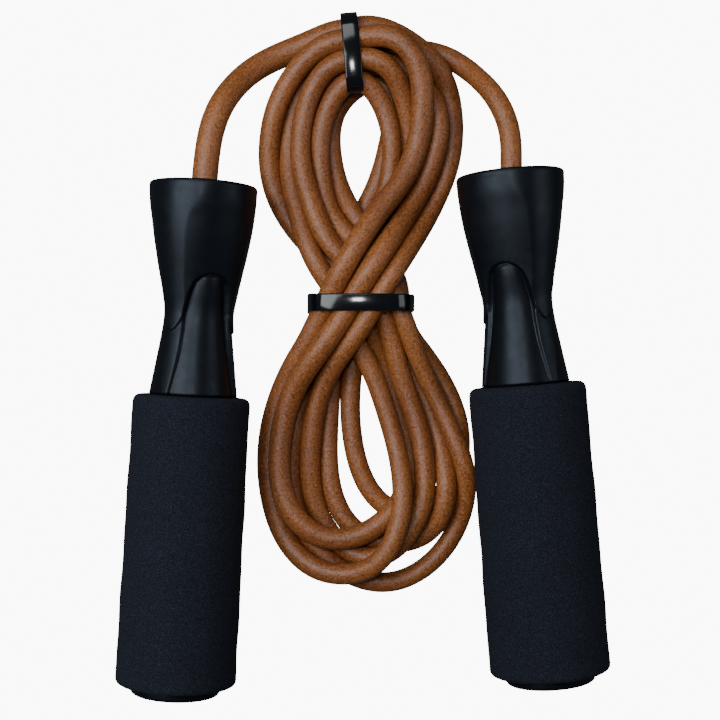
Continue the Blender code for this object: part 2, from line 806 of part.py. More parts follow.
def cable_tie(name, tie, parts, cutters):
    """A closed band with its locking head."""
    loops = [tie_outline(tie, TIE_THICKNESS), tie_outline(tie, 0.0)]
    half = TIE_WIDTH / 2
    curve = flat_solid(f"{name}_curve", loops, -half, half, cutters)
    band = mesh_of(curve, f"tie_{name}", parts, None, "tie_plastic")
    band.matrix_world = tie_matrix(tie)
    boolean(band, tie_head(f"{name}_tie_head", tie, cutters), "UNION")
    return band


def build():
    clear_scene()
    parts = new_collection("jump_rope")
    cutters = new_collection("cutters", hidden=True)
    for side in HANDLES:
        axis = bpy.data.objects.new(f"{side}_handle_axis", None)
        parts.objects.link(axis)
        axis.matrix_world = handle_matrix(side)
        handle_shell(side, axis, parts, cutters)
        foam_grip(side, axis, parts)
        end_cap(side, axis, parts)
        bearing_retainer(side, axis, parts)
        bearing_rings(side, axis, parts)
        bearing_cage(side, axis, parts, cutters)
        bearing_balls(side, axis, parts)
        rope_end_pieces(side, axis, parts)
    bpy.context.view_layer.update()
    for side in HANDLES:
        rope_lead(side, parts)
    rope_hank(parts, cutters)
    for name, tie in TIES.items():
        cable_tie(name, tie, parts, cutters)


build()
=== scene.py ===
"""The looks of the jump rope: leather rope, cable ties, moulded handles and foam grips.

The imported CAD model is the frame. Lengths below are in millimetres, scaled by MM where geometry is
made. A place along a handle is its depth, the distance behind the rim.
"""

import math

import bmesh
import bpy
import numpy as np
from mathutils import Matrix, Vector


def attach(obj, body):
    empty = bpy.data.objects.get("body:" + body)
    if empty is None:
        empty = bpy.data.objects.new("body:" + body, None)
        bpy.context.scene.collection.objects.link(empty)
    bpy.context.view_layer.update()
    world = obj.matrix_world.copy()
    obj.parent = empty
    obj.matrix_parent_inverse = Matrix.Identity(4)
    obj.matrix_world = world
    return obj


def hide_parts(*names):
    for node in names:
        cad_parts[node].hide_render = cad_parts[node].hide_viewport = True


MM = 0.001

# Camera: straight above the hank.
CAMERA_PLACE = (-0.8, 21.9, 420.0)
CAMERA_LENS = 66.45
CAMERA_SENSOR = 36.0
CAMERA_CLIP_START = 0.01  # metres

# Handles, as the CAD has them: rim centre, lean of the axis towards +X, turn of the top finger.
AXIS_HEIGHT = 18.3
HANDLES = {
    "left": {"rim": (-47.98, 74.89), "lean": 3.26, "turn": 28.5},
    "right": {"rim": (44.42, 78.19), "lean": -4.64, "turn": -27.5},
}

# Rope: its depths inside each handle, the free leads from the mouths to the hank, and then the six
# turns between them.
ROPE_INSIDE = (27.5, 14.0, 3.0)
LEADS = {
    "left": [
        (-47.1, 83.8, 18.1),
        (-46.2, 91.3, 17.4),
        (-43.1, 100.0, 16.0),
        (-37.8, 108.5, 13.6),
        (-33.8, 113.4, 11.4),
        (-29.6, 116.5, 9.4),
    ],
    "right": [
        (45.1, 84.8, 18.0),
        (45.2, 91.3, 17.3),
        (42.4, 98.9, 15.8),
        (36.8, 107.7, 13.4),
        (32.6, 111.9, 11.2),
        (28.7, 114.6, 9.2),
    ],
}
LEFT_LEAD_UNDER_TIE = (-15.0, 119.2, 6.6)
RIGHT_LEAD_UNDER_TIE = [(-0.8, 118.1, 6.8), (14.0, 117.4, 4.4)]

# A turn is a figure of eight that crosses spokes of the two loops: (centre, angle in degrees).
# At the waist the spoke is a line across, and the number is the place along it.
UPPER_LOOP = (-0.8, 86.0)
LOWER_LOOP = (4.0, -7.0)
WAIST = (0.0, 39.3)
SPOKES = (
    [(UPPER_LOOP, angle) for angle in (90, 65, 45, 0, -40)]
    + [(WAIST, 0)]
    + [(LOWER_LOOP, angle) for angle in (140, 180, 225, 250, 270, 315, 0, 50)]
    + [(WAIST, 0)]
    + [(UPPER_LOOP, angle) for angle in (220, 180, 135, 115)]
)
# One row for each turn, in the rope's order: how far out it crosses each spoke.
LANES = [
    [
        35.7, 34.6, 32.6, 28.0, 28.6, 2.1, 23.7, 19.9, 25.7,
        33.1, 32.9, 21.0, 15.8, 17.7, 2.9, 19.4, 16.9, 22.5, 27.5,
    ],
    [
        32.2, 28.0, 17.6, 12.6, 13.5, -2.0, 9.6, 6.2, 7.2,
        11.0, 15.3, 25.4, 27.0, 31.6, 11.0, 11.2, 10.3, 14.3, 18.8,
    ],
    [
        21.0, 24.2, 18.8, 10.2, 11.0, -11.3, 29.4, 25.7, 33.2,
        37.0, 42.2, 35.9, 26.4, 26.5, 8.6, 16.6, 12.9, 16.0, 19.0,
    ],
    [
        22.4, 17.2, 13.2, 10.3, 13.0, -6.3, 18.5, 15.6, 21.4,
        25.6, 30.9, 29.7, 20.1, 22.8, 7.8, 22.5, 16.5, 22.5, 23.5,
    ],
    [
        26.6, 34.6, 33.0, 24.5, 22.6, -5.5, 32.7, 30.6, 32.7,
        29.8, 22.8, 16.8, 12.4, 12.2, -0.1, 28.7, 26.4, 31.3, 33.8,
    ],
    [
        38.9, 36.2, 28.0, 17.3, 14.6, -12.4, 36.1, 33.0, 39.3,
        39.7, 35.6, 11.4, 7.3, 8.1, -3.0, 26.6, 22.4, 28.7, 29.0,
    ],
]
# The height at which it crosses them, in the same order.
LEVELS = [
    [
        5.4, 6.3, 7.0, 5.5, 12.4, 17.2, 13.2, 11.9, 9.7,
        7.4, 6.0, 9.9, 10.8, 11.4, 11.3, 12.4, 13.0, 12.0, 12.0,
    ],
    [
        12.9, 12.5, 9.5, 4.0, 4.0, 4.6, 3.5, 3.4, 3.3,
        3.3, 3.3, 3.3, 3.3, 3.4, 5.4, 3.4, 3.3, 3.3, 3.4,
    ],
    [
        3.4, 3.4, 3.3, 3.3, 3.3, 4.6, 3.3, 3.3, 3.3,
        3.3, 3.3, 4.8, 9.5, 11.3, 12.1, 9.6, 8.6, 9.0, 11.0,
    ],
    [
        12.2, 11.0, 9.6, 9.2, 8.0, 4.5, 3.3, 3.3, 3.3,
        3.3, 3.3, 4.9, 5.8, 7.1, 8.0, 5.0, 3.4, 3.4, 5.5,
    ],
    [
        6.8, 10.0, 11.8, 9.9, 13.1, 17.2, 13.6, 12.0, 11.9,
        11.0, 9.6, 6.6, 6.0, 6.0, 8.3, 8.0, 8.3, 14.0, 15.0,
    ],
    [
        11.3, 15.0, 16.3, 12.2, 13.6, 17.1, 10.8, 6.9, 8.3,
        12.2, 15.1, 16.5, 16.1, 15.2, 12.0, 8.6, 4.0, 4.2, 5.0,
    ],
]
# How thick the leather is on each turn's four sides: down, round the lower loop, up, over the top.
THICKNESS = [
    [6.2, 6.4, 6.6, 6.5],
    [6.8, 6.3, 6.4, 6.4],
    [6.2, 6.4, 5.9, 6.3],
    [6.0, 6.4, 6.1, 6.4],
    [7.0, 7.0, 6.3, 6.8],
    [7.0, 7.2, 6.2, 6.4],
]
LEAD_THICKNESS = {"left": 8.0, "right": 6.6}
LEAD_SHARE = 0.055  # of the rope's length, in each lead

# The rope's mesh. Its length is in metres, and the softening is in steps along the line. How
# uneven its section is changes over some rings, and is drawn for more rings than the rope has.
ROPE_STEP = 3.2
ROPE_RING_STEP = 1.3
ROPE_SIDES = 22
ROUTE_SOFTENING = 1.6
RING_SOFTENING = 2.0
UNEVEN = 0.012  # of the radius
UNEVEN_RINGS = 9
UNEVEN_SPARE = 40
UNEVEN_MINOR = 0.6
UNEVEN_SEED = 7

# How the rope settles: in each round strands part, drift back to the route, straighten and sink.
HELD_LEAD = 55.0
SETTLE_ROUNDS = 500
SETTLE_KEEP = np.array([0.985, 0.985, 0.998])
SETTLE_SINK = 0.02
SETTLE_STIFFNESS = 0.06
STRAIGHTENINGS = 4
PAIRS_ROUNDS = 10  # between two searches for touching strands
PAIRS_MARGIN = 2.0
PAIRS_SKIP = 6
TIE_REACH = 24.0
TIE_HOLD = 3.6

# Cable ties, as the CAD has them: plan centre, turn, the inner loop as corner circles (the large
# one crowns the top), and the corner after which the head sits. Beside a tie the rope is gathered
# over the length of its ramp, by less and less as the slope says.
TIE_WIDTH = 5.2
TIE_THICKNESS = 1.2
TIE_EDGE = 0.4
TIE_CORNER_STEPS = 14
HEAD_WIDTH = 6.6
HEAD_THICKNESS = 3.3
HEAD_BEVEL = 0.7
TIES = {
    "waist": {
        "centre": (-0.5, 39.3),
        "turn": 0.0,
        "head_at": 2,
        "ramp": 9.0,
        "slope": 0.45,
        "corners": [
            (8.2, 13.2, 7.0),
            (0.0, -39.2, 60.0),
            (-8.2, 13.2, 7.0),
            (-6.0, 6.9, 5.5),
            (8.2, 8.4, 7.0),
        ],
    },
    "top": {
        "centre": (-3.1, 114.3),
        "turn": 95.0,
        "head_at": 3,
        "ramp": 3.0,
        "slope": 1.5,
        "corners": [
            (7.9, 10.4, 5.5),
            (1.2, -23.5, 40.0),
            (-5.6, 12.2, 3.7),
            (-2.0, 6.4, 2.8),
            (8.4, 8.6, 5.0),
        ],
    },
}

# Handle moulding. The head is round, with a facet above each of the three fingers, and ends in a
# petal between every two of them. The tables give a value at each depth.
FINGER_PITCH = 120.0
RIM_RADIUS = 16.3
RIM_WIDTH = 3.0
RIM_ROUNDING = 1.3
RIM_STEPS = 8
MOUTH_RADIUS = 13.3
MOUTH_DEPTH = 4.0
MOUTH_ROUNDING = 0.6
NECK_END = 63.6
# Radius of the round head and its petals.
PETAL = [
    (0.0, 16.3), (6.0, 16.15), (13.4, 15.5), (20.6, 14.4), (27.3, 13.1), (32.7, 11.9),
    (37.0, 10.95), (39.5, 10.65), (42.0, 10.8), (46.0, 11.25), (52.0, 12.05), (63.6, 13.6),
]
# How far a petal's tip stands up, the depth at which that starts and the length it takes, the
# tip's half angle, in degrees, and how far past its point the step goes on.
TIP_STEP = 0.6
TIP_START = 25.0
TIP_RISE = 16.0
TIP = [(33.0, 36.0), (36.0, 29.0), (39.0, 20.5), (42.0, 12.5), (43.8, 6.0), (44.6, 0.0)]
TIP_MARGIN = 0.3
# Distance of a facet's middle from the axis, its own radius, and how softly it meets the petal.
FACET = [
    (0.0, 16.3), (1.5, 16.2), (6.5, 15.75), (11.0, 14.95), (16.0, 14.1), (20.6, 13.2), (25.8, 12.1),
    (32.7, 10.5), (37.0, 9.8), (41.0, 10.2), (46.0, 13.0), (64.0, 18.0),
]
FACET_CURVE = 20.5
FACET_EDGE = 0.14
# Distance of a finger's middle from the axis, its own radius, the half angle, in degrees, of the
# arch that it lies in, and how wide the arch's wall is.
FINGER = [
    (26.5, 9.6), (27.3, 10.4), (28.3, 10.9), (30.0, 10.9), (33.0, 10.5), (37.0, 9.9), (40.0, 9.75),
    (45.0, 10.15), (52.0, 11.15), (63.6, 12.9),
]
FINGER_CURVE = [(27.0, 5.4), (33.0, 6.6), (45.0, 9.2), (63.6, 12.3)]
ARCH = [
    (27.2, 0.0), (27.5, 8.0), (28.3, 17.0), (30.0, 26.5), (33.0, 33.0), (36.0, 37.5), (39.0, 41.5),
    (41.5, 42.5), (44.0, 42.5), (51.0, 44.5), (57.0, 49.0), (63.6, 54.0),
]
ARCH_WALL = 0.8
SHELL_SIDES = 300
SHELL_DEPTHS = np.concatenate(
    [np.arange(2.0, 26.0, 0.8), np.arange(26.0, 50.0, 0.3), np.arange(50.0, NECK_END, 0.8)]
)
# The core under the foam, then the bore and the bearing's seat, as (radius, depth).
SHELL_INSIDE = [
    (12.0, 63.7), (12.0, 150.2), (9.5, 150.2), (9.5, 66.5), (4.6, 66.5), (4.6, 27.0), (8.2, 26.9),
    (8.2, 12.4), (12.3, 12.3), (12.3, 4.05), (13.3, 4.0),
]
# Sections of the other pieces round the axis, as (radius, depth, rounding).
CORNER_STEPS = 5
TURNED_SIDES = 128
AXIS_RADIUS = 0.02
CAP_OUTLINE = [
    (0.0, 136.8, 0.0), (8.4, 136.8, 0.0), (9.2, 138.0, 0.0), (9.2, 150.8, 0.0), (13.4, 150.8, 0.3),
    (13.4, 153.6, 1.0), (0.0, 153.6, 0.0),
]
RETAINER_OUTLINE = [
    (13.0, 1.4, 0.5), (13.0, 3.7, 0.2), (10.4, 3.7, 0.2), (8.0, 2.6, 0.2), (8.0, 1.4, 0.5),
]
FOAM_OUTLINE = [(12.3, 63.9, 0.4), (17.7, 63.9, 2.6), (18.3, 150.5, 1.4), (12.3, 150.5, 0.4)]
FOAM_SIDES = 160
FOAM_ROWS = 90
FOAM_OUTSIDE = 16.0
FOAM_SETBACK = 0.12
# The foam's waves, as (height, radians for each millimetre along, number of waves round).
FOAM_WAVES = [(0.08, 0.21, 2.0), (0.06, 0.37, -3.0)]

# Colours, as linear values.
LEATHER_DARK = (0.115, 0.036, 0.009)
LEATHER_MID = (0.285, 0.094, 0.022)
LEATHER_LIGHT = (0.420, 0.165, 0.050)
# Painted highlight: the pale colour of the leather's glints, which is mixed into its colour as
# flecks.
LEATHER_PAINTED_GLINT = (0.52, 0.30, 0.18)
LEATHER_DARK_TONE = (0.80, 0.72, 0.68)
LEATHER_LIGHT_TONE = (1.08, 1.05, 1.0)
PLASTIC = (0.003, 0.004, 0.006)
PLASTIC_SHEEN = (0.72, 0.84, 1.0)
FOAM_DARK = (0.002, 0.003, 0.006)
FOAM_MID = (0.006, 0.008, 0.015)
FOAM_LIGHT = (0.024, 0.031, 0.050)
NYLON = (0.003, 0.004, 0.006)
STEEL = (0.62, 0.63, 0.65)
CAGE_NYLON = (0.55, 0.52, 0.45)
BRASS = (0.72, 0.52, 0.22)
WHITE = (1.0, 1.0, 1.0)
BLACK = (0.0, 0.0, 0.0)

# The studio, in metres. The table glows, so that it stays white without lighting the object.
WORLD_COLOUR = (0.92, 0.96, 1.0)
WORLD_STRENGTH = 0.08
TABLE_HALF = 1.5
TABLE_GLOW = 10.0
LIGHT_TARGET = (0.0, 0.03, 0.0)
LIGHTS = {
    "window": {
        "place": (-0.36, 0.12, 0.50),
        "size": (0.34, 0.45),
        "power": 3.0,
        "colour": (0.93, 0.97, 1.0),
    },
    "far_side": {
        "place": (0.55, 0.10, 0.30),
        "size": (0.25, 0.30),
        "power": 0.5,
        "colour": (0.90, 0.95, 1.0),
    },
    "top": {"place": (-0.10, 0.45, 0.50), "size": (0.30, 0.20), "power": 0.7, "colour": WHITE},
    "lamp": {"place": (-0.02, 0.12, 0.60), "size": (0.06, 0.06), "power": 0.7, "colour": WHITE},
}


def handle_matrix(side):
    """The handle's frame: +Z out of its mouth, +Y up, with its origin at the rim's centre."""
    x, y = HANDLES[side]["rim"]
    lean = math.radians(HANDLES[side]["lean"])
    along = Vector((math.sin(lean), math.cos(lean), 0.0))
    up = Vector((0.0, 0.0, 1.0))
    turn = Matrix((up.cross(along), up, along)).transposed().to_4x4()
    return Matrix.Translation((x * MM, y * MM, AXIS_HEIGHT * MM)) @ turn


def rope_route():
    """The rope's own points, from the left handle to the right one."""
    ends = {}
    for side in HANDLES:
        matrix = handle_matrix(side)
        inside = [matrix @ Vector((0.0, 0.0, -depth * MM)) / MM for depth in ROPE_INSIDE]
        ends[side] = [tuple(point) for point in inside] + LEADS[side]
    points = ends["left"] + [LEFT_LEAD_UNDER_TIE]
    for lanes, levels in zip(LANES, LEVELS):
        for (centre, angle), lane, level in zip(SPOKES, lanes, levels):
            turn = math.radians(angle)
            x, y = centre[0] + lane * math.cos(turn), centre[1] + lane * math.sin(turn)
            points.append((x, y, level))
    points += RIGHT_LEAD_UNDER_TIE
    points += ends["right"][::-1]
    return np.array(points)


def hermite(t, width, start, start_slope, end, end_slope):
    """The cubic between two values that has these slopes at its ends, at t from 0 to 1."""
    return (
        (2 * t**3 - 3 * t**2 + 1) * start
        + (t**3 - 2 * t**2 + t) * width * start_slope
        + (3 * t**2 - 2 * t**3) * end
        + (t**3 - t**2) * width * end_slope
    )


def smooth_line(points, step):
    """Points about `step` apart on the curve through these, with slopes from their neighbours."""
    span = np.linalg.norm(np.diff(points, axis=0), axis=1)
    slope = np.diff(points, axis=0) / span[:, None]
    tangent = np.empty_like(points)
    tangent[0], tangent[-1] = slope[0], slope[-1]
    before, after = span[:-1, None], span[1:, None]
    tangent[1:-1] = (slope[:-1] * after + slope[1:] * before) / (before + after)
    line = []
    for i, length in enumerate(span):
        for t in np.linspace(0.0, 1.0, max(2, round(length)), endpoint=False):
            line.append(hermite(t, length, points[i], tangent[i], points[i + 1], tangent[i + 1]))
    return evenly(np.array(line + [points[-1]]), step)


def evenly(line, step):
    """Points on the line at equal distances of about `step`."""
    along = np.concatenate([[0.0], np.cumsum(np.linalg.norm(np.diff(line, axis=0), axis=1))])
    places = np.linspace(0.0, along[-1], round(along[-1] / step) + 1)
    return np.stack([np.interp(places, along, line[:, k]) for k in range(3)], axis=1)


def softened(line, width):
    """The line averaged along itself over about `width` points, with its ends kept."""
    reach = int(3 * width)
    weight = np.exp(-0.5 * (np.arange(-reach, reach + 1) / width) ** 2)
    weight /= weight.sum()
    before = 2 * line[0] - line[reach:0:-1]
    after = 2 * line[-1] - line[-2 : -reach - 2 : -1]
    padded = np.concatenate([before, line, after])
    return np.stack([np.convolve(padded[:, k], weight, "valid") for k in range(3)], axis=1)


def near_pairs(line, reach, skip):
    """Pairs of points nearer than `reach` that are at least `skip` points apart on the line."""
    square = (line**2).sum(1)
    apart = square[:, None] + square[None, :] - 2.0 * line @ line.T
    first, second = np.nonzero(np.triu(apart < reach**2, skip))
    return first, second


def pushed_apart(line, radius, first, second):
    """How far each point moves so that strands lie side by side, shared between the two."""
    apart = line[first] - line[second]
    gap = np.linalg.norm(apart, axis=1) + 1e-6
    depth = np.maximum(radius[first] + radius[second] - gap, 0.0)
    step = apart * (0.5 * depth / gap)[:, None]
    size = len(line)
    touching = (depth > 0.0).astype(float)
    count = np.bincount(first, touching, size) + np.bincount(second, touching, size)
    push = [np.bincount(first, along, size) - np.bincount(second, along, size) for along in step.T]
    return np.stack(push, axis=1) / np.sqrt(np.maximum(count, 1.0))[:, None]


def tie_axes(tie):
    """Plan directions along the loop's width and through it."""
    turn = math.radians(tie["turn"])
    return np.array([math.cos(turn), math.sin(turn)]), np.array([math.sin(turn), -math.cos(turn)])


def tie_normal(corners, i):
    """The outward direction of the side from corner i to the next."""
    x0, y0, radius0 = corners[i]
    x1, y1, radius1 = corners[(i + 1) % len(corners)]
    along = np.array([x1 - x0, y1 - y0])
    length = np.hypot(*along)
    along = along / length
    lean = (radius0 - radius1) / length
    return along * lean + np.array([along[1], -along[0]]) * math.sqrt(1.0 - lean * lean)


def hold_in_tie(line, radius, tie):
    """Moves the points that pass through a tie to inside its loop, with a ramp on both sides."""
    across, through = tie_axes(tie)
    offset = line[:, :2] - np.array(tie["centre"])
    away = np.maximum(np.abs(offset @ through) - TIE_WIDTH / 2, 0.0)
    near = (away < tie["ramp"]) & (np.abs(offset @ across) < TIE_REACH)
    place = np.stack([offset @ across, line[:, 2]], axis=1)
    moved = place.copy()
    slack = radius - tie["slope"] * away
    corners = tie["corners"]
    for i, (x, y, corner_radius) in enumerate(corners):
        before, side = tie_normal(corners, i - 1), tie_normal(corners, i)
        for normal in ((before + side) / np.hypot(*(before + side)), side):
            beyond = moved @ normal - (np.array([x, y]) @ normal + corner_radius - slack)
            moved -= np.maximum(beyond, 0.0)[:, None] * normal
    shift = moved - place
    chosen = near & (np.hypot(*shift.T) < TIE_HOLD)
    line[chosen, :2] += (shift[:, :1] * across)[chosen]
    line[chosen, 2] += shift[chosen, 1]


def settle(route, radius):
    """The rope as it lies: strands side by side, on the ground and inside the ties."""
    line = route.copy()
    free = np.ones((len(line), 1))
    held = int(HELD_LEAD / ROPE_STEP)
    free[:held] = 0.0
    free[-held:] = 0.0
    for i in range(SETTLE_ROUNDS):
        if i % PAIRS_ROUNDS == 0:
            first, second = near_pairs(line, 2.0 * radius.max() + PAIRS_MARGIN, PAIRS_SKIP)
        line += free * pushed_apart(line, radius, first, second)
        line += free * (1.0 - SETTLE_KEEP) * (route - line)
        for _ in range(STRAIGHTENINGS):
            bend = line[:-4] - 4 * line[1:-3] + 6 * line[2:-2] - 4 * line[3:-1] + line[4:]
            line[2:-2] -= free[2:-2] * SETTLE_STIFFNESS * bend
        line[:, 2] -= free[:, 0] * SETTLE_SINK
        line[:, 2] = np.maximum(line[:, 2], radius)
        for tie in TIES.values():
            hold_in_tie(line, radius, tie)
    return line


def rope_radius(line):
    """Half the leather's thickness at each point of the line."""
    turns = [thickness for row in THICKNESS for thickness in row]
    step = (1.0 - 2.0 * LEAD_SHARE) / len(turns)
    places = [0.0, LEAD_SHARE]
    places += [LEAD_SHARE + step * (i + 0.5) for i in range(len(turns))]
    places += [1.0 - LEAD_SHARE, 1.0]
    values = [LEAD_THICKNESS["left"]] * 2 + turns + [LEAD_THICKNESS["right"]] * 2
    return 0.5 * np.interp(np.linspace(0.0, 1.0, len(line)), places, values)


def rope_line():
    """The finished centreline, and the rope's radius at each of its points."""
    route = softened(smooth_line(rope_route(), ROPE_STEP), ROUTE_SOFTENING)
    line = settle(route, rope_radius(route))
    fine = softened(smooth_line(line, ROPE_RING_STEP), RING_SOFTENING)
    fine[:, 2] = np.maximum(fine[:, 2], rope_radius(fine))
    return fine, rope_radius(fine)


def added(name, data):
    """A new object in the scene."""
    obj = bpy.data.objects.new(name, data)
    bpy.context.scene.collection.objects.link(obj)
    return obj


def riding(name, mesh, material, matrix, body):
    """A smooth mesh as an object that rides on a body."""
    mesh.materials.append(material)
    mesh.shade_smooth()
    obj = added(name, mesh)
    obj.matrix_world = matrix
    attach(obj, body)
    return obj


def placed(name, points, faces, material, matrix, body):
    """A riding mesh object from points in metres."""
    mesh = bpy.data.meshes.new(name)
    mesh.from_pydata([tuple(point) for point in points], [], faces)
    return riding(name, mesh, material, matrix, body)


def grid_faces(rows, columns, close_rows=False):
    """Quads over rows of points, each row closed on itself."""
    faces = []
    for i in range(rows if close_rows else rows - 1):
        low, high = i * columns, (i + 1) % rows * columns
        for j in range(columns):
            k = (j + 1) % columns
            faces.append((low + j, low + k, high + k, high + j))
    return faces


def ring_angles(sides):
    return np.arange(sides) * 2.0 * math.pi / sides


def rope_mesh(line, radius, material):
    """A tube round the line. Hand-cut leather isn't quite round, so its section drifts a little."""
    tangent = np.gradient(line, axis=0)
    tangent /= np.linalg.norm(tangent, axis=1)[:, None]
    side = np.cross(tangent[0], (0.0, 0.0, 1.0))
    angles = ring_angles(ROPE_SIDES)
    random = np.random.default_rng(UNEVEN_SEED)
    count = len(line)
    coarse = np.arange(0, count + UNEVEN_SPARE, UNEVEN_RINGS)
    size, oval, turned_oval, trefoil = (
        np.interp(np.arange(count), coarse, random.normal(size=len(coarse))) for _ in range(4)
    )
    rings = []
    for i, (point, along) in enumerate(zip(line, tangent)):
        side = side - along * (side @ along)
        side /= np.linalg.norm(side)
        other = np.cross(along, side)
        shape = 1.0 + UNEVEN * (
            UNEVEN_MINOR * size[i]
            + oval[i] * np.cos(2 * angles)
            + turned_oval[i] * np.sin(2 * angles)
            + UNEVEN_MINOR * trefoil[i] * np.cos(3 * angles)
        )
        reach = radius[i] * shape
        sideways, upward = np.cos(angles) * reach, np.sin(angles) * reach
        rings.append(point + np.outer(sideways, side) + np.outer(upward, other))
    faces = grid_faces(count, ROPE_SIDES)
    faces.append(tuple(range(ROPE_SIDES))[::-1])
    faces.append(tuple((count - 1) * ROPE_SIDES + j for j in range(ROPE_SIDES)))
    return placed("rope", np.concatenate(rings) * MM, faces, material, Matrix(), "rope")


def rounded_corner(before, corner, after, size, steps=CORNER_STEPS):
    """Points (radius, depth) round a corner between its two neighbours."""
    corner = np.array(corner)
    before = np.array(before) - corner
    after = np.array(after) - corner
    start = corner + before / np.linalg.norm(before) * size
    end = corner + after / np.linalg.norm(after) * size
    t = np.linspace(0.0, 1.0, steps)[:, None]
    return [tuple(point) for point in (1 - t) ** 2 * start + 2 * t * (1 - t) * corner + t**2 * end]


def rounded_outline(outline):
    """A closed outline of (radius, depth, rounding) as a list of (radius, depth)."""
    rounded = []
    for i, (*corner, size) in enumerate(outline):
        if size > 0.0:
            before, after = outline[i - 1][:2], outline[(i + 1) % len(outline)][:2]
            rounded += rounded_corner(before, corner, after, size)
        else:
            rounded.append(tuple(corner))
    return rounded


def around_axis(name, rows, sides, material, side):
    """A closed piece round a handle's axis, from rows of (radius or radii, depth)."""
    angles = ring_angles(sides)
    rings = [
        np.stack([reach * np.cos(angles), reach * np.sin(angles), np.full(sides, -depth)], axis=1)
        for reach, depth in rows
    ]
    faces = grid_faces(len(rows), sides, close_rows=True)
    points = np.concatenate(rings) * MM
    return placed(name, points, faces, material, handle_matrix(side), f"{side}_handle")


def turned(name, outline, material, side):
    """A turned piece on a handle's axis, from its closed section."""
    rows = [(max(reach, AXIS_RADIUS), depth) for reach, depth in rounded_outline(outline)]
    return around_axis(name, rows, TURNED_SIDES, material, side)


def profile(table, depth):
    """A smooth curve through a table of (depth, value), at one depth."""
    places, values = np.array(table).T
    slopes = np.diff(values) / np.diff(places)
    tangents = np.concatenate([slopes[:1], (slopes[:-1] + slopes[1:]) / 2, slopes[-1:]])
    i = int(np.clip(np.searchsorted(places, depth) - 1, 0, len(slopes) - 1))
    width = places[i + 1] - places[i]
    t = np.clip((depth - places[i]) / width, 0.0, 1.0)
    return hermite(t, width, values[i], tangents[i], values[i + 1], tangents[i + 1])


def smooth_step(x):
    """From 0 to 1 as x does, with level ends."""
    x = np.clip(x, 0.0, 1.0)
    return x * x * (3.0 - 2.0 * x)


def bowed(middle, curve, angle):
    """Distance from the axis to a surface of radius `curve` that is `middle` away at angle 0."""
    lean = middle - curve
    return lean * np.cos(angle) + np.sqrt(np.maximum(curve**2 - (lean * np.sin(angle)) ** 2, 0.0))


def shell_radius(depth, away):
    """Outer radius of the moulding `away` degrees from the middle of the nearest finger."""
    angle = np.radians(away)
    petal = profile(PETAL, depth)
    facet = bowed(profile(FACET, depth), FACET_CURVE, angle)
    blend = np.clip(0.5 + 0.5 * (facet - petal) / FACET_EDGE, 0.0, 1.0)
    head = facet * (1 - blend) + petal * blend - FACET_EDGE * blend * (1 - blend)
    finger = bowed(profile(FINGER, depth), profile(FINGER_CURVE, depth), angle)
    arch = np.interp(depth, *zip(*ARCH))
    within = (arch - away) * np.radians(1.0) * head
    within = np.where(depth < ARCH[0][0], -1.0, within)
    in_arch = smooth_step(0.5 + within / ARCH_WALL)
    beside = (FINGER_PITCH / 2 - away - np.interp(depth, *zip(*TIP))) * np.radians(1.0) * head
    on_tip = smooth_step(0.5 - beside / ARCH_WALL) * smooth_step((depth - TIP_START) / TIP_RISE)
    tip = TIP_STEP * on_tip * (depth < TIP[-1][0] + TIP_MARGIN)
    return (head + tip) * (1 - in_arch) + finger * in_arch


def handle_shell(side, material):
    """The moulding: mouth, flared head, neck with three fingers, and the core inside the foam."""
    degrees = np.degrees(ring_angles(SHELL_SIDES)) - 90.0 - HANDLES[side]["turn"]
    away = np.abs((degrees + FINGER_PITCH / 2) % FINGER_PITCH - FINGER_PITCH / 2)
    inner_edge, outer_edge = (MOUTH_RADIUS, 0.0), (RIM_RADIUS, 0.0)
    rows = rounded_corner((MOUTH_RADIUS, MOUTH_DEPTH), inner_edge, outer_edge, MOUTH_ROUNDING)
    rows += rounded_corner(inner_edge, outer_edge, (RIM_RADIUS, RIM_WIDTH), RIM_ROUNDING, RIM_STEPS)
    rows += [(shell_radius(depth, away), depth) for depth in (*SHELL_DEPTHS, NECK_END)]
    rows += SHELL_INSIDE
    return around_axis(f"{side}_moulding", rows, SHELL_SIDES, material, side)


def foam_sleeve(side, material):
    """The foam grip, a little uneven, with soft edges."""
    section = rounded_outline(FOAM_OUTLINE)
    split = 2 * CORNER_STEPS
    front, rear = section[split - 1], section[split]
    flank = [
        (front[0] + (rear[0] - front[0]) * t, front[1] + (rear[1] - front[1]) * t)
        for t in np.linspace(0.0, 1.0, FOAM_ROWS)[1:-1]
    ]
    angles = ring_angles(FOAM_SIDES)
    rows = []
    for reach, depth in section[:split] + flank + section[split:]:
        if reach > FOAM_OUTSIDE:
            reach = reach - FOAM_SETBACK + sum(
                height * np.sin(along * depth + around * angles)
                for height, along, around in FOAM_WAVES
            )
        rows.append((reach, depth))
    return around_axis(f"{side}_foam", rows, FOAM_SIDES, material, side)


def tie_matrix(tie):
    """The tie's frame: its loop lies in local XY, with local Y up."""
    x, y = tie["centre"]
    turn = Matrix.Rotation(math.radians(tie["turn"]), 4, "Z")
    stand = Matrix.Rotation(math.radians(90.0), 4, "X")
    return Matrix.Translation((x * MM, y * MM, 0.0)) @ turn @ stand


def tie_loop(corners):
    """Points of the inner loop with their outward directions."""
    loop = []
    for i, (x, y, radius) in enumerate(corners):
        first, last = tie_normal(corners, i - 1), tie_normal(corners, i)
        start = math.atan2(first[1], first[0])
        sweep = (math.atan2(last[1], last[0]) - start) % (2.0 * math.pi)
        for t in np.linspace(0.0, 1.0, TIE_CORNER_STEPS):
            normal = np.array([math.cos(start + sweep * t), math.sin(start + sweep * t)])
            loop.append((np.array([x, y]) + radius * normal, normal))
    return loop


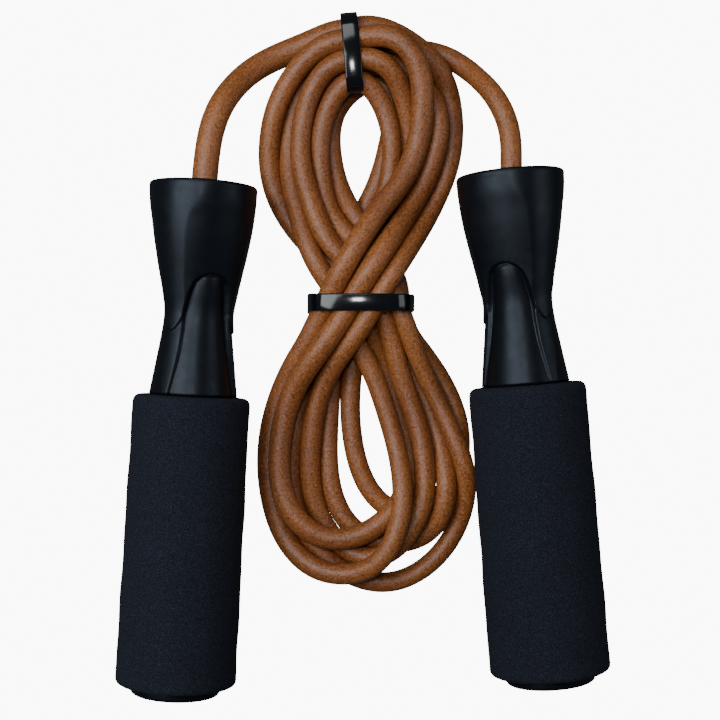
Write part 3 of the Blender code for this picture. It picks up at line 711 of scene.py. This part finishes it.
def tie_band(name, tie, material):
    """The band: a strap with rounded edges, smooth side out."""
    side, inner, outer = TIE_WIDTH / 2 - TIE_EDGE, TIE_EDGE, TIE_THICKNESS - TIE_EDGE
    section = []
    corners = (side, outer), (-side, outer), (-side, inner), (side, inner)
    for quarter, (wide, out) in enumerate(corners):
        for step in (0, 30, 60, 90):
            angle = math.radians(90 * quarter + step)
            section.append((wide + TIE_EDGE * math.cos(angle), out + TIE_EDGE * math.sin(angle)))
    loop = tie_loop(tie["corners"])
    points = []
    for point, normal in loop:
        for wide, out in section:
            place = point + normal * out
            points.append((place[0] * MM, place[1] * MM, wide * MM))
    faces = grid_faces(len(loop), len(section), close_rows=True)
    return placed(f"{name}_band", points, faces, material, tie_matrix(tie), "rope")


def tie_head(name, tie, material):
    """The locking head, a block with rounded edges on the middle of its side of the band."""
    corners, at = tie["corners"], tie["head_at"]
    normal = tie_normal(corners, at)
    x0, y0, radius0 = corners[at]
    x1, y1, radius1 = corners[(at + 1) % len(corners)]
    start = np.array([x0, y0]) + normal * radius0
    end = np.array([x1, y1]) + normal * radius1
    centre = (start + end) / 2 + normal * HEAD_THICKNESS / 2
    turn = Matrix.Rotation(math.atan2(normal[1], normal[0]), 4, "Z")
    place = tie_matrix(tie) @ Matrix.Translation((centre[0] * MM, centre[1] * MM, 0.0)) @ turn

    name = f"{name}_head"
    block = bmesh.new()
    bmesh.ops.create_cube(block, size=1.0)
    size = Matrix.Diagonal((HEAD_THICKNESS * MM, HEAD_WIDTH * MM, HEAD_WIDTH * MM, 1.0))
    bmesh.ops.transform(block, matrix=size, verts=block.verts)
    bevel = {"offset": HEAD_BEVEL * MM, "segments": 3, "affect": "EDGES", "profile": 0.5}
    bmesh.ops.bevel(block, geom=block.edges[:], **bevel)
    mesh = bpy.data.meshes.new(name)
    block.to_mesh(mesh)
    block.free()
    return riding(name, mesh, material, place, "rope")


class Shading:
    """A principled material with a few helpers for its nodes. Bump distances are in millimetres."""

    def __init__(self, name, colour, roughness, metallic=0.0, specular=0.5):
        self.material = bpy.data.materials.new(name)
        self.material.use_nodes = True
        self.nodes = self.material.node_tree.nodes
        self.links = self.material.node_tree.links
        self.shader = self.nodes["Principled BSDF"]
        self.set("Base Color", (*colour, 1.0))
        self.set("Roughness", roughness)
        self.set("Metallic", metallic)
        self.set("Specular IOR Level", specular)
        self.place = self.nodes.new("ShaderNodeTexCoord").outputs["Object"]

    def set(self, socket, value):
        self.shader.inputs[socket].default_value = value

    def feed(self, socket, value):
        self.links.new(value, self.shader.inputs[socket])

    def put(self, value, socket):
        """Links a node's output to a socket, or sets the socket to a number or a colour."""
        if hasattr(value, "is_linked"):
            self.links.new(value, socket)
        elif hasattr(value, "__len__"):
            socket.default_value = (*value, 1.0)
        else:
            socket.default_value = value

    def noise(self, scale, detail=3.0, roughness=0.6):
        node = self.nodes.new("ShaderNodeTexNoise")
        node.inputs["Scale"].default_value = scale
        node.inputs["Detail"].default_value = detail
        node.inputs["Roughness"].default_value = roughness
        self.links.new(self.place, node.inputs["Vector"])
        return node.outputs["Fac"]

    def ramp(self, value, *stops):
        """The value turned into a colour or a grey by stops of (place, colour)."""
        node = self.nodes.new("ShaderNodeValToRGB")
        ramp = node.color_ramp
        while len(ramp.elements) < len(stops):
            ramp.elements.new(0.5)
        for element, (place, colour) in zip(ramp.elements, stops):
            element.position = place
            element.color = (*(colour if hasattr(colour, "__len__") else (colour,) * 3), 1.0)
        self.links.new(value, node.inputs["Fac"])
        return node.outputs["Color"]

    def mix(self, kind, factor, a, b):
        node = self.nodes.new("ShaderNodeMix")
        node.data_type = "RGBA"
        node.blend_type = kind
        for value, socket in ((factor, 0), (a, 6), (b, 7)):
            self.put(value, node.inputs[socket])
        return node.outputs[2]

    def times(self, a, b):
        node = self.nodes.new("ShaderNodeMath")
        node.operation = "MULTIPLY"
        self.put(a, node.inputs[0])
        self.put(b, node.inputs[1])
        return node.outputs["Value"]

    def bump(self, height, strength, distance):
        """Adds a bump over those that the shader already has."""
        node = self.nodes.new("ShaderNodeBump")
        node.inputs["Strength"].default_value = strength
        node.inputs["Distance"].default_value = distance * MM
        self.links.new(height, node.inputs["Height"])
        before = self.shader.inputs["Normal"]
        if before.is_linked:
            self.links.new(before.links[0].from_socket, node.inputs["Normal"])
        self.links.new(node.outputs["Normal"], before)


def leather():
    """Waxed saddle leather: fine grain, slow tone changes, dark pits and pale painted highlights."""
    look = Shading("saddle_leather", LEATHER_MID, roughness=0.45, specular=0.55)
    grain = look.noise(scale=1400.0, detail=4.0, roughness=0.65)
    colour = look.ramp(grain, (0.3, LEATHER_DARK), (0.5, LEATHER_MID), (0.72, LEATHER_LIGHT))
    tones = look.noise(scale=28.0, detail=2.0)
    tones = look.ramp(tones, (0.35, LEATHER_DARK_TONE), (0.65, LEATHER_LIGHT_TONE))
    colour = look.mix("MULTIPLY", 1.0, colour, tones)
    pits = look.noise(scale=2100.0, detail=2.0, roughness=0.5)
    colour = look.mix("MULTIPLY", 0.8, colour, look.ramp(pits, (0.33, 0.20), (0.43, 1.0)))
    # Painted highlight: pale flecks in the glint colour are mixed into the leather's colour and
    # stand in for its sheen.
    painted_glints = look.noise(scale=1500.0, detail=2.0, roughness=0.5)
    painted_glints = look.times(look.ramp(painted_glints, (0.64, 0.0), (0.72, 1.0)), 0.3)
    colour = look.mix("MIX", painted_glints, colour, LEATHER_PAINTED_GLINT)
    look.feed("Base Color", colour)
    look.feed("Roughness", look.ramp(look.noise(scale=700.0), (0.3, 0.30), (0.7, 0.52)))
    look.bump(grain, strength=0.7, distance=0.26)
    look.bump(look.noise(scale=2300.0, detail=2.0, roughness=0.5), strength=0.35, distance=0.10)
    look.bump(look.noise(scale=150.0, detail=2.0, roughness=0.5), strength=0.25, distance=0.5)
    return look.material


def moulded_plastic():
    """Black satin plastic with a fine mould texture."""
    look = Shading("satin_plastic", PLASTIC, roughness=0.40, specular=0.28)
    look.feed("Roughness", look.ramp(look.noise(scale=260.0, detail=4.0), (0.3, 0.34), (0.7, 0.46)))
    look.set("Specular Tint", (*PLASTIC_SHEEN, 1.0))
    look.bump(look.noise(scale=1900.0), strength=0.25, distance=0.05)
    look.bump(look.noise(scale=90.0, detail=2.0), strength=0.10, distance=0.25)
    return look.material


def foam_rubber():
    """Dark closed-cell foam, with its cells as grain and bump."""
    look = Shading("foam_rubber", FOAM_MID, roughness=0.92, specular=0.25)
    cells = look.noise(scale=3600.0, detail=2.0)
    colour = look.ramp(cells, (0.35, FOAM_DARK), (0.5, FOAM_MID), (0.68, FOAM_LIGHT))
    look.feed("Base Color", colour)
    look.bump(cells, strength=0.8, distance=0.30)
    look.bump(look.noise(scale=500.0, detail=2.0, roughness=0.5), strength=0.3, distance=0.25)
    return look.material


def nylon_strap():
    look = Shading("black_nylon", NYLON, roughness=0.12, specular=0.55)
    look.bump(look.noise(scale=700.0, detail=2.0), strength=0.08, distance=0.05)
    return look.material


def plain(name, colour, roughness, metallic=0.0):
    """A finish for the small parts in the mouths, with its roughness a little uneven."""
    look = Shading(name, colour, roughness, metallic)
    wear = look.noise(scale=400.0, detail=2.0)
    look.feed("Roughness", look.ramp(wear, (0.3, roughness * 0.85), (0.7, roughness * 1.2)))
    return look.material


def soft_light(name, place, size, power, colour):
    data = bpy.data.lights.new(name, "AREA")
    data.shape = "RECTANGLE"
    data.size, data.size_y = size
    data.energy = power
    data.color = colour
    lamp = added(name, data)
    lamp.location = place
    lamp.rotation_euler = (Vector(LIGHT_TARGET) - Vector(place)).to_track_quat("-Z", "Y").to_euler()


def studio():
    """A white table under soft lights, and the camera straight above it."""
    world = bpy.data.worlds.new("studio")
    bpy.context.scene.world = world
    world.use_nodes = True
    background = world.node_tree.nodes["Background"]
    background.inputs["Color"].default_value = (*WORLD_COLOUR, 1.0)
    background.inputs["Strength"].default_value = WORLD_STRENGTH

    look = Shading("white_table", BLACK, roughness=1.0, specular=0.0)
    look.set("Emission Color", (*WHITE, 1.0))
    look.set("Emission Strength", TABLE_GLOW)
    mesh = bpy.data.meshes.new("table")
    corners = ((-1, -1), (1, -1), (1, 1), (-1, 1))
    points = [(x * TABLE_HALF, y * TABLE_HALF, 0.0) for x, y in corners]
    mesh.from_pydata(points, [], [(0, 1, 2, 3)])
    mesh.materials.append(look.material)
    table = added("table", mesh)
    table.visible_diffuse = False
    table.visible_glossy = False
    table.visible_shadow = False

    for name, light in LIGHTS.items():
        soft_light(name, **light)

    data = bpy.data.cameras.new("camera")
    data.lens = CAMERA_LENS
    data.sensor_width = CAMERA_SENSOR
    data.clip_start = CAMERA_CLIP_START
    camera = added("camera", data)
    camera.location = Vector(CAMERA_PLACE) * MM
    bpy.context.scene.camera = camera


def rope_and_ties(leather_look, nylon):
    """The rope, which is one cord from ferrule to ferrule, and the ties on it."""
    line, radius = rope_line()
    rope = rope_mesh(line, radius, leather_look)
    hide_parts("rope_hank", "rope_lead_left", "rope_lead_right")
    for name, tie in TIES.items():
        band = tie_band(name, tie, nylon)
        head = tie_head(name, tie, nylon)
        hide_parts(f"tie_{name}")


def handle(side, plastic, foam):
    """The pieces of one handle that replace its CAD nodes."""
    shell = handle_shell(side, plastic)
    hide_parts(f"{side}_handle_shell")
    sleeve = foam_sleeve(side, foam)
    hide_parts(f"{side}_foam_grip")
    cap = turned(f"{side}_cap", CAP_OUTLINE, plastic, side)
    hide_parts(f"{side}_end_cap")
    cover = turned(f"{side}_cover_ring", RETAINER_OUTLINE, plastic, side)
    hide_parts(f"{side}_bearing_retainer")


def finish_small_parts(steel, cage, brass):
    """Finishes for the CAD nodes that stay. The first word that a node's name has decides."""
    finishes = (
        ("cage", cage),
        ("ferrule", brass),
        ("ring", steel),
        ("ball", steel),
        ("washer", steel),
        ("sleeve", steel),
    )
    for name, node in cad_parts.items():
        if node.hide_render:
            continue
        for word, finish in finishes:
            if word in name:
                node.data.materials.clear()
                node.data.materials.append(finish)
                break


def main():
    leather_look = leather()
    plastic = moulded_plastic()
    foam = foam_rubber()
    nylon = nylon_strap()
    steel = plain("bearing_steel", STEEL, roughness=0.22, metallic=1.0)
    cage = plain("cage_nylon", CAGE_NYLON, roughness=0.5)
    brass = plain("brass", BRASS, roughness=0.3, metallic=1.0)
    rope_and_ties(leather_look, nylon)
    for side in HANDLES:
        handle(side, plastic, foam)
    finish_small_parts(steel, cage, brass)
    studio()


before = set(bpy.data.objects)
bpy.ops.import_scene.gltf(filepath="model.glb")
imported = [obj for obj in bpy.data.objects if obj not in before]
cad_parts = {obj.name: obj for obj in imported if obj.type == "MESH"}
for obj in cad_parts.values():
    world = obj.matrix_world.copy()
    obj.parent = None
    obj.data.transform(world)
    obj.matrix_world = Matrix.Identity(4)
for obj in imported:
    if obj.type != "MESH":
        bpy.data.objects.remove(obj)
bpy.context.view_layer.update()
main()
